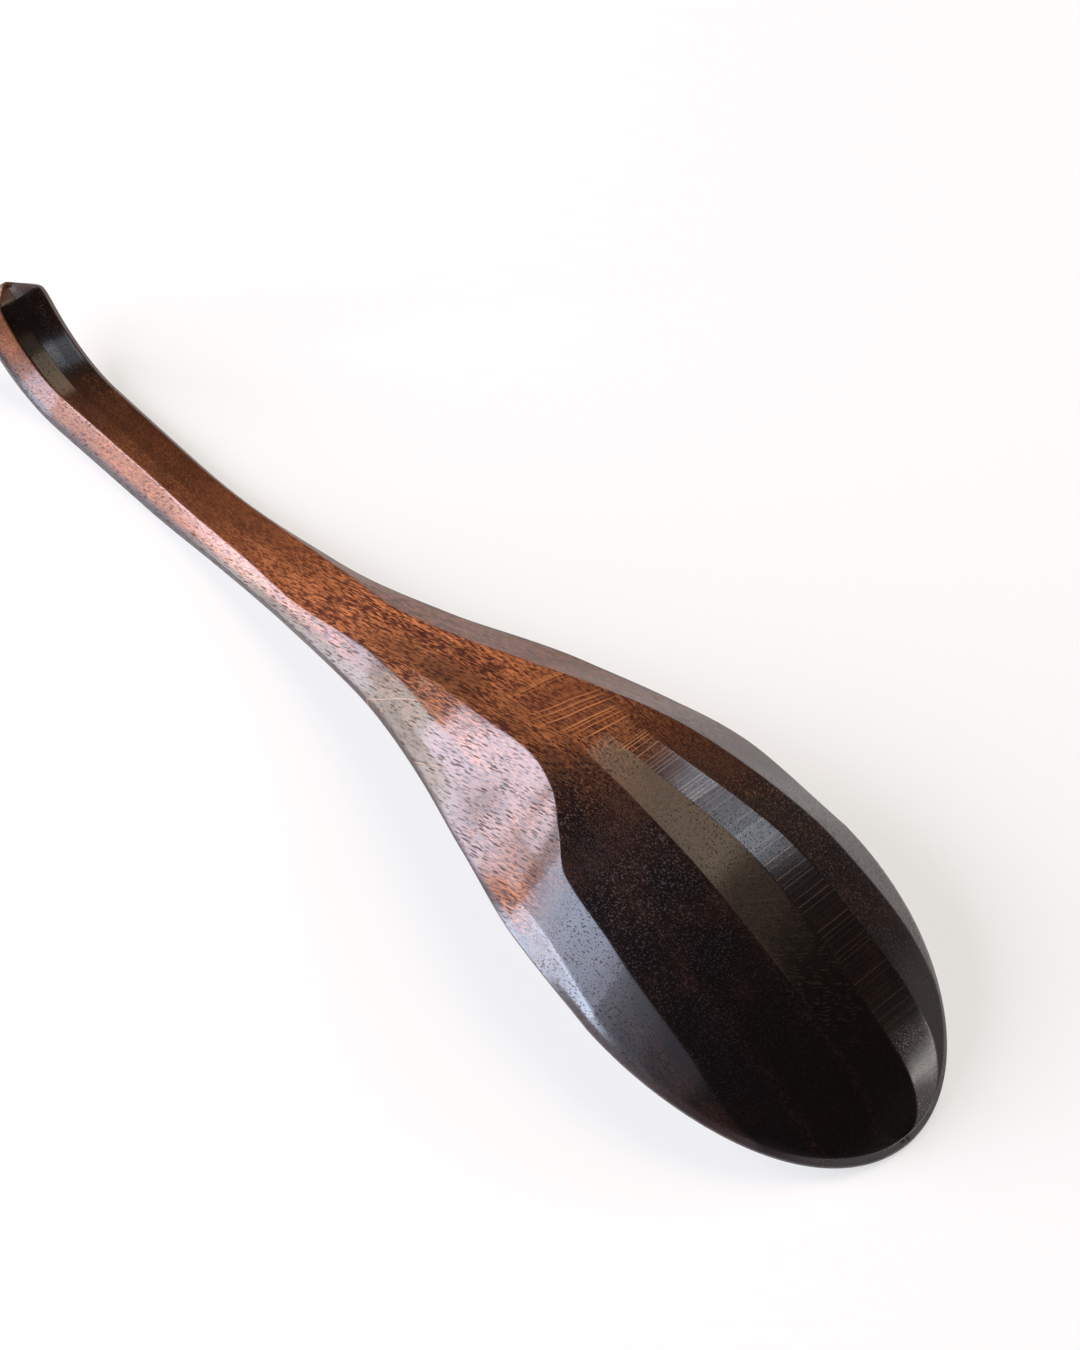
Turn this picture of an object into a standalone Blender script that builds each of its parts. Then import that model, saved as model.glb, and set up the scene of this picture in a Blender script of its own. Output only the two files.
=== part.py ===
"""A hand-carved wooden soup spoon with a hooked handle, as it lies on a table face down.

The spoon is one piece of wood. Its outline and its side profile are sawn first, the back is then
cut with a knife into long facets, and the bowl is hollowed from the face. The model follows that
order. A distance along the spoon is counted from the bowl's tip towards the hook. Metres, +Z up.
"""

import math

import bmesh
import bpy
import numpy as np

NAME = "carved_spoon"

# Outline seen from above: half widths, and where along the spoon they are
BOWL_HALF = 0.0213
BOWL_WIDEST_AT = 0.0315
BOWL_ROUNDNESS = 2.0
SHOULDER_HALF = 0.0203
SHOULDER_AT = 0.0450
BEND_HALF = 0.0171
BEND_AT = 0.0580
FLARE_HALF = 0.01345
FLARE_AT = 0.0700
NECK_HALF = 0.0084
NECK_AT = 0.0900
WRIST_HALF = 0.0058
WRIST_AT = 0.1100
GRIP_HALF = 0.0050
GRIP_AT = 0.1300
HOOK_HALF = 0.0057

# The handle stands a little to the left of the bowl's middle line
SWEEP = 0.0005
SWEEP_FROM_AT = 0.0820
SWEEP_TO_AT = 0.1060

# Side profile: height of the sawn face above the table
TIP_SLOPE_RISE = 0.0067
TIP_SLOPE_AT = 0.0200
ARCH_START_RISE = 0.0101
ARCH_START_AT = 0.0350
ARCH_RISE = 0.0130
ARCH_AT = 0.0550
FLARE_RISE = 0.0121
NECK_RISE = 0.0078
WRIST_RISE = 0.0037
CREST_AT = 0.1400

# Hook at the end of the handle, cut to a blunt point with a lip sloping down to its edges
HOOK_AT = 0.1600
HOOK_RADIUS = 0.0210
HOOK_ANGLE = math.radians(48)
HOOK_STRAIGHT = 0.0060
HOOK_POINT = 0.0027
HOOK_POINT_SLOPE = 1.85
HOOK_CORNER = 0.0006
HOOK_LIP_THICKNESS = 0.0032
HOOK_LIP_SLOPE = 0.55

# Thickness from the face to the crown of the back
TIP_THICKNESS = 0.0012
TIP_CURVE_THICKNESS = 0.0044
TIP_CURVE_AT = 0.0040
FRONT_THICKNESS = 0.0076
FRONT_AT = 0.0120
BOWL_THICKNESS = 0.0128
BOWL_DEEPEST_AT = 0.0390
BACK_THICKNESS = 0.0126
BACK_AT = 0.0520
FLARE_THICKNESS = 0.0098
NECK_THICKNESS = 0.0067
WRIST_THICKNESS = 0.0055
GRIP_THICKNESS = 0.0050
HOOK_THICKNESS = 0.0048

# Thin edge left between the sawn face and the knife's facets
BOWL_EDGE = 0.0005
WRIST_EDGE = 0.0013
HOOK_EDGE = 0.0014
BEVEL_WIDTH = 0.0004
FACE_EASE = 0.0004

# How full the back is: a low power is squarer, a high power leaner at the sides
BOWL_FULLNESS = 0.82
BEND_FULLNESS = 0.96
BEND_FULLNESS_AT = 0.0660
NECK_FULLNESS = 1.10
NECK_FULLNESS_AT = 0.0800
WRIST_FULLNESS = 1.05
WRIST_FULLNESS_AT = 0.1000
GRIP_FULLNESS = 0.90

# Hollow of the bowl, gouged from the face
RIM_WIDTH = 0.0017
WALL = 0.0027
HOLLOW_END_AT = 0.0630
HOLLOW_TURN_AT = 0.0300
HOLLOW_END_ROUNDNESS = 3.0
HOLLOW_FULLNESS = 0.55

# Stations of the loft
TIP_STATIONS = 16
BODY_STEP = 0.0028
HOOK_STATIONS = 14
POINT_STATIONS = 10
HOLLOW_STATIONS = 40
HOLLOW_ACROSS = 22
SHARP_ANGLE = math.radians(4)

# Finish
WOOD_COLOUR = (0.075, 0.026, 0.012, 1.0)
LACQUER_ROUGHNESS = 0.38

# Lines where two facets meet, as (distance, share of the half width), left is negative, each with
# its sharpness as (distance, sharpness): at 0 the line is lost in the flat between its neighbours
ALWAYS = ((0.0, 1.0),)
LEFT_BEVEL = ((0.0, -1.0),)
RIGHT_BEVEL = ((0.0, 1.0),)
BEVEL_SHARP = ((0.030, 1.0), (0.040, 0.0))
LEFT_LOW = ((0.000, -0.985), (0.0300, -0.950), (0.0440, -0.895), (0.0600, -0.900), (0.1780, -0.880))
LEFT_LOW_SHARP = ((0.019, 0.0), (0.024, 1.0), (0.041, 1.0), (0.046, 0.72), (0.050, 0.22), (0.054, 0.0))
LEFT_NECK = ((0.000, -0.96), (0.0440, -0.82), (0.0600, -0.82), (0.0730, -0.85), (0.0920, -0.84),
             (0.1000, -0.82), (0.1100, -0.86), (0.1300, -0.80), (0.1780, -0.70))
LEFT_NECK_SHARP = ((0.064, 0.0), (0.072, 1.0), (0.108, 1.0), (0.116, 0.3))
LEFT_TOP = ((0.000, -0.93), (0.0440, -0.73), (0.0600, -0.67), (0.0700, -0.69), (0.0760, -0.67),
            (0.0900, -0.60), (0.0960, -0.63), (0.1080, -0.72), (0.1170, -0.66), (0.1300, -0.60),
            (0.1420, -0.54), (0.1780, -0.54))
LEFT_TOP_SHARP = ((0.060, 0.0), (0.067, 1.0))
ARC = ((0.0000, -1.00), (0.0070, -1.00), (0.0125, -0.93), (0.0205, -0.79), (0.0340, -0.71),
       (0.0435, -0.67), (0.0475, -0.56), (0.0520, -0.44), (0.0585, -0.385), (0.0710, -0.43),
       (0.0860, -0.47), (0.1780, -0.30))
ARC_SHARP = ((0.076, 1.0), (0.088, 0.0))
LEFT_FAINT = ((0.000, -0.80), (0.0120, -0.62), (0.0240, -0.50), (0.0440, -0.42), (0.0585, -0.24),
              (0.1780, -0.16))
LEFT_FAINT_SHARP = ((0.016, 0.5), (0.030, 0.0))
CENTRE_LEFT = ((0.000, -0.50), (0.0045, -0.32), (0.0100, -0.20), (0.0170, -0.13), (0.0500, -0.14),
               (0.1780, -0.06))
CENTRE_LEFT_SHARP = ((0.048, 1.0), (0.060, 0.3))
CENTRE_RIGHT = ((0.000, 0.52), (0.0040, 0.37), (0.0120, 0.23), (0.0300, 0.17), (0.0500, 0.06),
                (0.1780, 0.08))
CENTRE_RIGHT_SHARP = ((0.046, 1.0), (0.058, 0.0))
PLANED = ((0.000, 1.0), (0.0040, 0.87), (0.0100, 0.67), (0.0190, 0.51), (0.0310, 0.43),
          (0.0520, 0.25), (0.0640, 0.30), (0.1780, 0.30))
PLANED_SHARP = ((0.053, 1.0), (0.064, 0.0))
RIGHT = ((0.000, 1.0), (0.0080, 0.985), (0.0150, 0.90), (0.0250, 0.77), (0.0350, 0.70),
         (0.0480, 0.54), (0.0580, 0.40), (0.0640, 0.34), (0.0700, 0.26), (0.0780, 0.19),
         (0.0920, 0.18), (0.1060, 0.55), (0.1300, 0.82), (0.1780, 0.82))
FACET_LINES = ((LEFT_BEVEL, BEVEL_SHARP), (LEFT_LOW, LEFT_LOW_SHARP), (LEFT_NECK, LEFT_NECK_SHARP),
               (LEFT_TOP, LEFT_TOP_SHARP), (ARC, ARC_SHARP), (LEFT_FAINT, LEFT_FAINT_SHARP),
               (CENTRE_LEFT, CENTRE_LEFT_SHARP), (CENTRE_RIGHT, CENTRE_RIGHT_SHARP),
               (PLANED, PLANED_SHARP), (RIGHT, ALWAYS), (RIGHT_BEVEL, BEVEL_SHARP))


def curve(points, at):
    """A smooth curve through the points that keeps their rises and falls and holds at the ends."""
    spots, values = np.array(points, float).T
    if len(spots) == 1:
        return values[0]
    gaps = np.diff(spots)
    slopes = np.diff(values) / gaps
    tangents = np.zeros(len(spots))
    tangents[0], tangents[-1] = slopes[0], slopes[-1]
    for i in range(1, len(spots) - 1):
        before, after = slopes[i - 1], slopes[i]
        if before * after > 0.0:
            near, far = 2.0 * gaps[i] + gaps[i - 1], gaps[i] + 2.0 * gaps[i - 1]
            tangents[i] = (near + far) / (near / before + far / after)
    k = int(np.clip(np.searchsorted(spots, at) - 1, 0, len(gaps) - 1))
    t = min(max((at - spots[k]) / gaps[k], 0.0), 1.0)
    swing = t * t * (3.0 - 2.0 * t)
    leave = t * (1.0 - t) ** 2 * gaps[k] * tangents[k]
    arrive = t * t * (t - 1.0) * gaps[k] * tangents[k + 1]
    return values[k] + (values[k + 1] - values[k]) * swing + leave + arrive


def ramp(points, at):
    """Straight lines through the points, held at the ends."""
    spots, values = np.array(points, float).T
    return float(np.interp(at, spots, values))


def swing_between(start, end, at):
    """From 0 at the start to 1 at the end, leaving and arriving level."""
    t = min(max((at - start) / (end - start), 0.0), 1.0)
    return t * t * (3.0 - 2.0 * t)


def hook_end():
    """Length of the path along the face, from the tip to the end of the hook."""
    return HOOK_AT + HOOK_RADIUS * HOOK_ANGLE + HOOK_STRAIGHT


def half_width(at):
    """Half of the outline's width: a rounded bowl front, then a smooth waist to the handle."""
    if at < BOWL_WIDEST_AT:
        forward = 1.0 - max(at, 0.0) / BOWL_WIDEST_AT
        half = BOWL_HALF * (1.0 - forward ** BOWL_ROUNDNESS) ** (1.0 / BOWL_ROUNDNESS)
    else:
        half = curve(((BOWL_WIDEST_AT, BOWL_HALF), (SHOULDER_AT, SHOULDER_HALF), (BEND_AT, BEND_HALF),
                      (FLARE_AT, FLARE_HALF), (NECK_AT, NECK_HALF), (WRIST_AT, WRIST_HALF),
                      (GRIP_AT, GRIP_HALF), (hook_end(), HOOK_HALF)), at)
    into_point = at - (hook_end() - HOOK_POINT)
    lost = 0.5 * HOOK_POINT_SLOPE * (into_point + math.hypot(into_point, HOOK_CORNER))
    return half - lost if at > HOOK_AT else half


def face_height(at):
    """Height of the sawn face above the table, up to the start of the hook."""
    return curve(((0.0, 0.0), (TIP_SLOPE_AT, TIP_SLOPE_RISE), (ARCH_START_AT, ARCH_START_RISE),
                  (ARCH_AT, ARCH_RISE), (FLARE_AT, FLARE_RISE), (NECK_AT, NECK_RISE),
                  (WRIST_AT, WRIST_RISE), (CREST_AT, 0.0), (HOOK_AT, 0.0)), at)


def thickness(at):
    """Thickness from the face to the crown of the back."""
    return curve(((0.0, TIP_THICKNESS), (TIP_CURVE_AT, TIP_CURVE_THICKNESS), (FRONT_AT, FRONT_THICKNESS),
                  (BOWL_DEEPEST_AT, BOWL_THICKNESS), (BACK_AT, BACK_THICKNESS),
                  (FLARE_AT, FLARE_THICKNESS), (NECK_AT, NECK_THICKNESS),
                  (WRIST_AT, WRIST_THICKNESS), (GRIP_AT, GRIP_THICKNESS),
                  (hook_end(), HOOK_THICKNESS)), at)


def edge_height(at):
    """Height of the thin edge between the sawn face and the facets."""
    return curve(((0.0, BOWL_EDGE), (FLARE_AT, BOWL_EDGE), (WRIST_AT, WRIST_EDGE),
                  (hook_end(), HOOK_EDGE)), at)


def crown(at, y):
    """Height of the rounded back over the face, before the knife flattens it between the lines."""
    power = curve(((0.0, BOWL_FULLNESS), (BACK_AT, BOWL_FULLNESS), (BEND_FULLNESS_AT, BEND_FULLNESS),
                   (NECK_FULLNESS_AT, NECK_FULLNESS), (WRIST_FULLNESS_AT, WRIST_FULLNESS),
                   (GRIP_AT, GRIP_FULLNESS), (hook_end(), GRIP_FULLNESS)), at)
    share = min(abs(y) / max(half_width(at), 1e-9), 1.0)
    edge = edge_height(at)
    height = edge + max(thickness(at) - edge, 0.0) * (1.0 - share ** 2) ** power
    to_lip = hook_end() - abs(y) / HOOK_POINT_SLOPE - at
    return min(height, max(HOOK_LIP_THICKNESS + HOOK_LIP_SLOPE * to_lip, edge))


def place(at, y, height):
    """Point at a distance along the spoon, an offset across it and a height over the face."""
    y -= SWEEP * swing_between(SWEEP_FROM_AT, SWEEP_TO_AT, at)
    if at <= HOOK_AT:
        return (-at, y, face_height(at) + height)
    turn = min((at - HOOK_AT) / HOOK_RADIUS, HOOK_ANGLE)
    straight = max(at - HOOK_AT - HOOK_RADIUS * HOOK_ANGLE, 0.0)
    along = HOOK_AT + HOOK_RADIUS * math.sin(turn) + straight * math.cos(turn) - height * math.sin(turn)
    up = HOOK_RADIUS * (1.0 - math.cos(turn)) + straight * math.sin(turn) + height * math.cos(turn)
    return (-along, y, up)


def outline_normal(at):
    """How far the outline's outward normal points forwards and sideways."""
    step = 1e-5
    near, far = max(at - step, 0.0), at + step
    slope = (half_width(far) - half_width(near)) / (far - near)
    length = math.hypot(slope, 1.0)
    return slope / length, 1.0 / length


def facet_points(at, edge, inner):
    """Points (y, height) of the facet lines at one distance, from left to right.

    A sharp line lies on the rounded back, and a faded one on the straight cut between sharper ones.
    """
    half = half_width(at)
    ys = np.array([curve(line, at) * half for line, sharp in FACET_LINES])
    ys = np.minimum.accumulate(np.clip(ys, -inner, inner)[::-1])[::-1]
    sharpness = np.array([ramp(sharp, at) for line, sharp in FACET_LINES])
    cut = [edge[0], edge[1]]
    heights = np.zeros(len(ys))
    for i in sorted(range(len(ys)), key=lambda index: -sharpness[index]):
        known = np.array(sorted(cut))
        flat = float(np.interp(ys[i], known[:, 0], known[:, 1]))
        heights[i] = flat + sharpness[i] * (crown(at, ys[i]) - flat)
        if sharpness[i] > 0.0:
            cut.append((ys[i], heights[i]))
    return list(zip(ys, heights))


def section(at):
    """Points round the spoon at one distance, from the left of the face over the back to the right."""
    half = half_width(at)
    forwards, sideways = outline_normal(at) if at < BOWL_WIDEST_AT else (0.0, 1.0)
    inner_at = at + BEVEL_WIDTH * forwards
    inner = max(half - BEVEL_WIDTH * sideways, 0.0)
    edge = edge_height(at)
    ease = min(FACE_EASE, 0.5 * half) * ramp(((NECK_AT, 0.0), (WRIST_AT, 1.0)), at)
    points = [place(at, -half + ease, 0.0), place(at, -half, ease), place(at, -half, edge)]
    for y, height in facet_points(inner_at, ((-half, edge), (half, edge)), inner):
        points.append(place(inner_at, y, height))
    points += [place(at, half, edge), place(at, half, ease), place(at, half - ease, 0.0)]
    return points


def stations():
    """Distances of the sections: close together at the rounded tip and at the hook's corner."""
    tip = [TIP_CURVE_AT * 3.0 * (i / TIP_STATIONS) ** 2 for i in range(TIP_STATIONS)]
    start = TIP_CURVE_AT * 3.0
    count = max(int(round((HOOK_AT - start) / BODY_STEP)), 1)
    body = [start + (HOOK_AT - start) * i / count for i in range(count)]
    corner = hook_end() - HOOK_POINT - 2.0 * HOOK_CORNER
    hook = [HOOK_AT + (corner - HOOK_AT) * i / HOOK_STATIONS for i in range(HOOK_STATIONS)]
    end = [corner + (hook_end() - corner) * i / POINT_STATIONS for i in range(POINT_STATIONS + 1)]
    return tip + body + hook + end


def loft(name, rings, collection):
    """Closed body through rings of points; an end ring that has any width is filled."""
    mesh = bmesh.new()
    rows = [[mesh.verts.new(point) for point in ring] for ring in rings]
    for row, following in zip(rows, rows[1:]):
        for i in range(len(row)):
            j = (i + 1) % len(row)
            mesh.faces.new((row[i], row[j], following[j], following[i]))
    for row in (rows[0], rows[-1]):
        if max(abs(vertex.co.y) for vertex in row) > 1e-5:
            mesh.faces.new(row)
    bmesh.ops.remove_doubles(mesh, verts=mesh.verts, dist=1e-6)
    bmesh.ops.triangulate(mesh, faces=mesh.faces)
    bmesh.ops.recalc_face_normals(mesh, faces=mesh.faces)
    data = bpy.data.meshes.new(name)
    mesh.to_mesh(data)
    mesh.free()
    body = bpy.data.objects.new(name, data)
    collection.objects.link(body)
    return body


def hollow_rings():
    """Sections of the gouged hollow, from just behind the rim at the tip to the run-out at the neck."""
    rings = []
    for i in range(HOLLOW_STATIONS + 1):
        swing = 0.5 - 0.5 * math.cos(math.pi * i / HOLLOW_STATIONS)
        at = RIM_WIDTH + (HOLLOW_END_AT - RIM_WIDTH) * swing
        past_turn = max((at - HOLLOW_TURN_AT) / (HOLLOW_END_AT - HOLLOW_TURN_AT), 0.0)
        forwards, sideways = outline_normal(at)
        side = max(half_width(at) - RIM_WIDTH / max(sideways, 0.3), 0.0)
        if i == 0:
            side = 0.0
        half = side * math.sqrt(max(1.0 - past_turn ** HOLLOW_END_ROUNDNESS, 0.0))
        closing = max(1.0 - (2.0 * swing - 1.0) ** 4, 0.0) ** 0.5
        depth = max(thickness(at) - WALL, 0.0) * closing
        ring = [(-at, -half, face_height(at) - WALL), (-at, half, face_height(at) - WALL)]
        for j in range(HOLLOW_ACROSS + 1):
            share = math.cos(math.pi * j / HOLLOW_ACROSS)
            height = depth * max(1.0 - share ** 2, 0.0) ** HOLLOW_FULLNESS
            ring.append((-at, half * share, face_height(at) + height))
        rings.append(ring)
    return rings


def finish(body, cutter):
    """Cut the hollow, centre the spoon over the origin and shade its facets crisp."""
    cut = body.modifiers.new("hollow", "BOOLEAN")
    cut.operation = "DIFFERENCE"
    cut.solver = "EXACT"
    cut.object = cutter
    bpy.context.view_layer.update()
    carved = bpy.data.meshes.new_from_object(body.evaluated_get(bpy.context.evaluated_depsgraph_get()))
    body.modifiers.clear()
    body.data = carved
    carved.name = NAME
    points = [vertex.co for vertex in carved.vertices]
    middle = 0.5 * (min(p.x for p in points) + max(p.x for p in points))
    lowest = min(p.z for p in points)
    for ob in (body, cutter):
        for vertex in ob.data.vertices:
            vertex.co.x -= middle
            vertex.co.z -= lowest
    tidy = bmesh.new()
    tidy.from_mesh(carved)
    bmesh.ops.remove_doubles(tidy, verts=tidy.verts, dist=2e-6)
    bmesh.ops.triangulate(tidy, faces=tidy.faces)
    tidy.to_mesh(carved)
    tidy.free()
    carved.shade_smooth()
    carved.set_sharp_from_angle(angle=SHARP_ANGLE)


def lacquered_wood():
    """Dark red-brown wood with a satin wiped lacquer."""
    material = bpy.data.materials.new("lacquered_wood")
    material.use_nodes = True
    shader = material.node_tree.nodes["Principled BSDF"]
    shader.inputs["Base Color"].default_value = WOOD_COLOUR
    shader.inputs["Roughness"].default_value = LACQUER_ROUGHNESS
    shader.inputs["Metallic"].default_value = 0.0
    return material


def main():
    """Build the spoon in an empty scene."""
    for ob in list(bpy.data.objects):
        bpy.data.objects.remove(ob, do_unlink=True)
    parts = bpy.data.collections.new("wooden_soup_spoon")
    cutters = bpy.data.collections.new("cutters")
    for collection in (parts, cutters):
        bpy.context.scene.collection.children.link(collection)
    body = loft(NAME, [section(at) for at in stations()], parts)
    cutter = loft("hollow_cutter", hollow_rings(), cutters)
    cutter.hide_render = True
    cutter.display_type = "WIRE"
    finish(body, cutter)
    body.data.materials.append(lacquered_wood())


main()
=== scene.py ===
"""Carved wooden soup spoon, face down on a pale table: its lacquered wood, the table and the light.

The spoon is worked out as a surface of two parameters, the distance from the bowl's tip and the
way round the section, from the same sizes as the solid that it stands for.
"""

import math

import bpy
import numpy as np
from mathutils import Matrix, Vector


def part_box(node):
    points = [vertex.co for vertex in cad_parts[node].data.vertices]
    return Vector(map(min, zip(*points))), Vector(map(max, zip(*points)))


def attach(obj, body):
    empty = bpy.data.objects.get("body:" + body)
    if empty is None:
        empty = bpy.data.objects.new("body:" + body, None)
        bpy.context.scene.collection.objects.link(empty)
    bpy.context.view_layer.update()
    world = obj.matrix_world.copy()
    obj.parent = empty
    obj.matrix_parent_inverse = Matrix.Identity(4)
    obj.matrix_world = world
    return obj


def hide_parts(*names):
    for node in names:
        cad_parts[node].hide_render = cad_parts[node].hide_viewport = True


bl_info = {
    "name": "Carved Soup Spoon",
    "version": (1, 0, 0),
    "blender": (4, 5, 0),
    "location": "View3D > Sidebar > Spoon",
    "description": "Carves a lacquered wooden soup spoon and lays it on a lit table",
    "category": "Object",
}

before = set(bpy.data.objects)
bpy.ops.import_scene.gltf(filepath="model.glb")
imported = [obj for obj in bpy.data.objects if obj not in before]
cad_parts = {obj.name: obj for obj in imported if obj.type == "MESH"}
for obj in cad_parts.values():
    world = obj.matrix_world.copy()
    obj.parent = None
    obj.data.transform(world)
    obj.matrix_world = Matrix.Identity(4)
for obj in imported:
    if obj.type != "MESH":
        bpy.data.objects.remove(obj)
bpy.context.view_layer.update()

MM = 0.001

# Half widths of the outline and the distances from the tip that they belong to, in millimetres
BOWL_HALF, BOWL_WIDEST_AT = 21.3, 31.5
OUTLINE = ((31.5, 21.3), (45.0, 20.3), (58.0, 17.1), (70.0, 13.45), (90.0, 8.4), (110.0, 5.8),
           (130.0, 5.0))
HOOK_HALF = 5.7
# How far the handle stands to the left of the bowl's middle line, and where it gets there
SWEEP, SWEEP_FROM_AT, SWEEP_TO_AT = 0.5, 82.0, 106.0
# Height of the sawn face over the table
FACE = ((0.0, 0.0), (20.0, 6.7), (35.0, 10.1), (55.0, 13.0), (70.0, 12.1), (90.0, 7.8),
        (110.0, 3.7), (140.0, 0.0), (160.0, 0.0))
# Thickness from the face to the crown of the back
THICKNESS = ((0.0, 1.2), (4.0, 4.4), (12.0, 7.6), (39.0, 12.8), (52.0, 12.6), (70.0, 9.8),
             (90.0, 6.7), (110.0, 5.5), (130.0, 5.0))
HOOK_THICKNESS = 4.8
HOOK_AT, HOOK_RADIUS, HOOK_ANGLE, HOOK_STRAIGHT = 160.0, 21.0, math.radians(48), 6.0
HOOK_POINT, HOOK_POINT_SLOPE, HOOK_CORNER = 2.7, 1.85, 0.6
HOOK_LIP_THICKNESS, HOOK_LIP_SLOPE = 3.2, 0.55
HOOK_END = HOOK_AT + HOOK_RADIUS * HOOK_ANGLE + HOOK_STRAIGHT
EDGE = ((0.0, 0.5), (56.0, 0.6), (70.0, 1.2), (84.0, 1.5), (100.0, 1.5), (HOOK_END, 1.4))
FULLNESS = ((0.0, 0.82), (52.0, 0.82), (66.0, 0.96), (80.0, 1.1), (100.0, 1.05), (130.0, 0.9),
            (HOOK_END, 0.9))
BEVEL_WIDTH, FACE_EASE = 0.4, 0.4
# How much of FACE_EASE the edge of the face keeps at a distance, and the most of a section it takes
FACE_EASE_KEPT, FACE_EASE_HALF, FACE_EASE_EDGE = ((60.0, 0.35), (110.0, 1.0)), 0.5, 0.7
RIM_WIDTH, WALL, HOLLOW_END_AT, HOLLOW_TURN_AT = 1.7, 2.7, 63.0, 30.0
HOLLOW_END_ROUNDNESS, HOLLOW_FULLNESS = 3.0, 0.55

# Lines where two facets meet, from left to right: (distance, share of the half width), then how
# sharp each is along the spoon as (distance, sharpness)
FACET_LINES = (
    (((0.0, -1.0), (1.0, -1.0)),
     ((30.0, 1.0), (40.0, 0.0))),
    (((0.0, -0.985), (30.0, -0.95), (44.0, -0.895), (60.0, -0.9), (178.0, -0.88)),
     ((19.0, 0.0), (24.0, 1.0), (41.0, 1.0), (46.0, 0.72), (50.0, 0.22), (54.0, 0.0))),
    (((0.0, -0.96), (44.0, -0.82), (60.0, -0.82), (73.0, -0.85), (92.0, -0.84), (100.0, -0.82),
      (110.0, -0.86), (130.0, -0.8), (178.0, -0.7)),
     ((58.0, 0.0), (76.0, 1.0), (108.0, 1.0), (116.0, 0.3))),
    (((0.0, -0.93), (44.0, -0.73), (60.0, -0.67), (70.0, -0.69), (76.0, -0.67), (90.0, -0.6),
      (96.0, -0.63), (108.0, -0.72), (117.0, -0.66), (130.0, -0.6), (142.0, -0.54),
     (178.0, -0.54)), ((54.0, 0.0), (74.0, 1.0))),
    (((0.0, -1.0), (7.0, -1.0), (12.5, -0.93), (20.5, -0.79), (34.0, -0.71), (43.5, -0.67),
      (47.5, -0.56), (52.0, -0.44), (58.5, -0.385), (71.0, -0.43), (86.0, -0.47), (178.0, -0.3)),
     ((76.0, 1.0), (88.0, 0.0))),
    (((0.0, -0.8), (12.0, -0.62), (24.0, -0.5), (44.0, -0.42), (58.5, -0.24), (178.0, -0.16)),
     ((16.0, 0.5), (30.0, 0.0))),
    (((0.0, -0.5), (4.5, -0.32), (10.0, -0.2), (17.0, -0.13), (50.0, -0.14), (178.0, -0.06)),
     ((48.0, 1.0), (60.0, 0.3))),
    (((0.0, 0.52), (4.0, 0.37), (12.0, 0.23), (30.0, 0.17), (50.0, 0.06), (178.0, 0.08)),
     ((46.0, 1.0), (58.0, 0.0))),
    (((0.0, 1.0), (4.0, 0.87), (10.0, 0.67), (19.0, 0.51), (31.0, 0.43), (52.0, 0.25), (64.0, 0.3),
      (178.0, 0.3)),
     ((53.0, 1.0), (64.0, 0.0))),
    (((0.0, 1.0), (8.0, 0.985), (15.0, 0.9), (25.0, 0.77), (35.0, 0.7), (48.0, 0.54),
      (58.0, 0.4), (64.0, 0.34), (70.0, 0.26), (78.0, 0.19), (92.0, 0.18), (106.0, 0.55),
      (130.0, 0.82), (178.0, 0.82)),
     ((0.0, 1.0), (1.0, 1.0))),
    (((0.0, 1.0), (1.0, 1.0)),
     ((30.0, 1.0), (40.0, 0.0))),
)

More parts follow.
